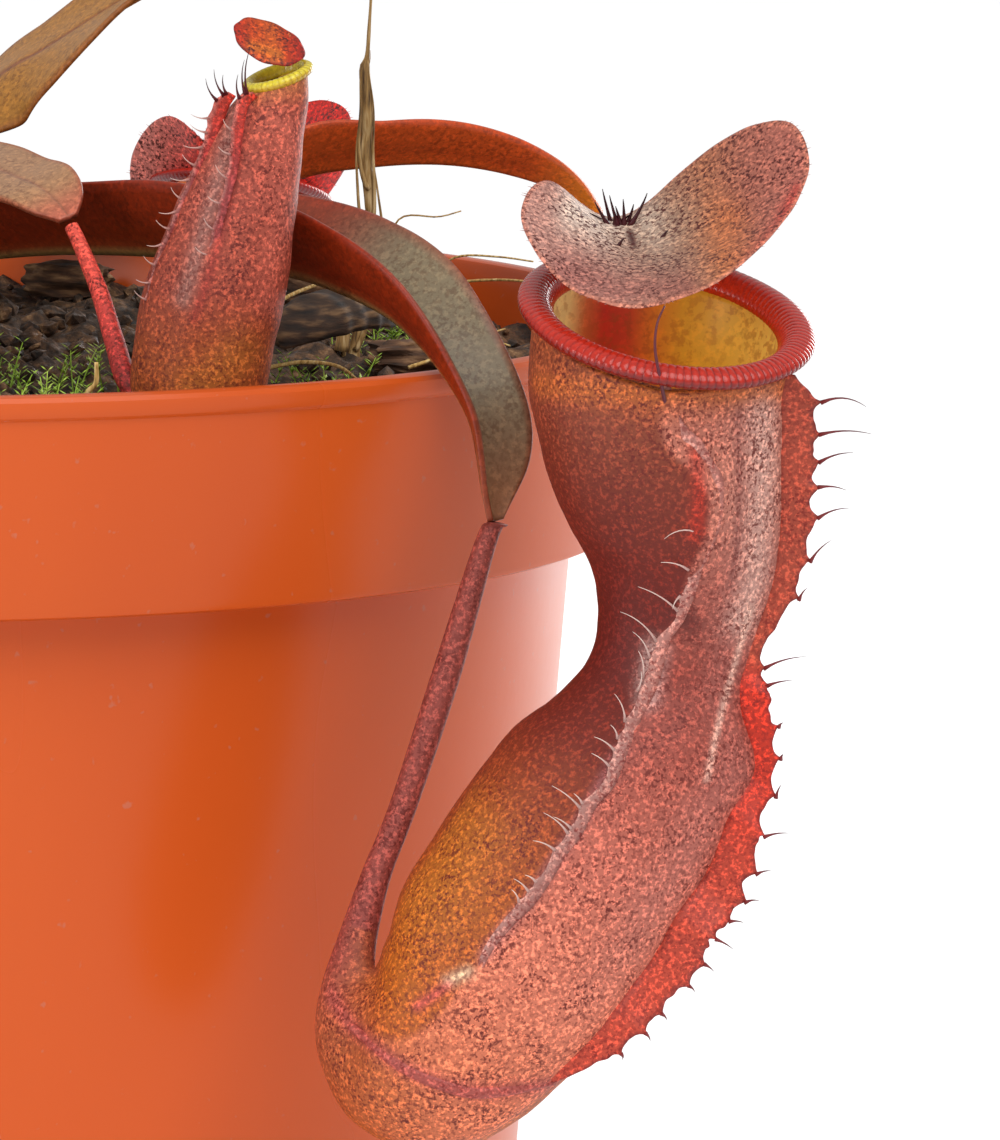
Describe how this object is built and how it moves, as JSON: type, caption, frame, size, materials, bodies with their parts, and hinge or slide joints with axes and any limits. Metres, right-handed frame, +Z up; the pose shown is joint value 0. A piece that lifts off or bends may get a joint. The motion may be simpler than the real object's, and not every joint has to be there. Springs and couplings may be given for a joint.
{
  "type": "potted pitcher plant",
  "caption": "Tropical pitcher plant in a terracotta-coloured plastic nursery pot, with strap leaves and red flecked pitchers that hang over the rim.",
  "frame": {"origin": "centre of the pot's flat base, where it stands", "axes": "+Z up along the pot's axis, -Y towards the viewer's side, +X to the viewer's right"},
  "size_m": [0.2317, 0.2226, 0.2012],
  "materials": {
    "pot_plastic": "satin orange-brown",
    "soil": "moist and rough",
    "stem": "matt",
    "leaf": "satin",
    "cup": "flecked, satin",
    "ring": "glossy",
    "lid": "flecked, satin",
    "small_ring": "glossy",
    "dead_plant": "matt"
  },
  "bodies": {
    "root": {"pot": "pot_plastic", "soil": "soil", "stem": "stem", "leaf_front_strap": "leaf", "leaf_right_back": "leaf", "leaf_tall_right": "leaf", "leaf_front_short": "leaf", "leaf_back": "leaf", "leaf_back_left": "leaf", "leaf_left": "leaf", "leaf_left_strap": "leaf", "leaf_front_left": "leaf", "large_pitcher_cup": "cup", "large_pitcher_ring": "ring", "large_pitcher_lid": "lid", "back_pitcher_cup": "cup", "back_pitcher_ring": "ring", "back_pitcher_lid": "lid", "left_pitcher_cup": "cup", "left_pitcher_ring": "ring", "left_pitcher_lid": "lid", "small_pitcher_cup": "cup", "small_pitcher_ring": "small_ring", "small_pitcher_lid": "lid", "dry_stick": "dead_plant", "bud_with_tendril": "cup", "bark_chip_1": "dead_plant", "bark_chip_2": "dead_plant", "bark_chip_3": "dead_plant", "bark_chip_4": "dead_plant", "bark_chip_5": "dead_plant", "bark_chip_6": "dead_plant", "curled_dead_leaf": "dead_plant"}
  },
  "joints": []
}
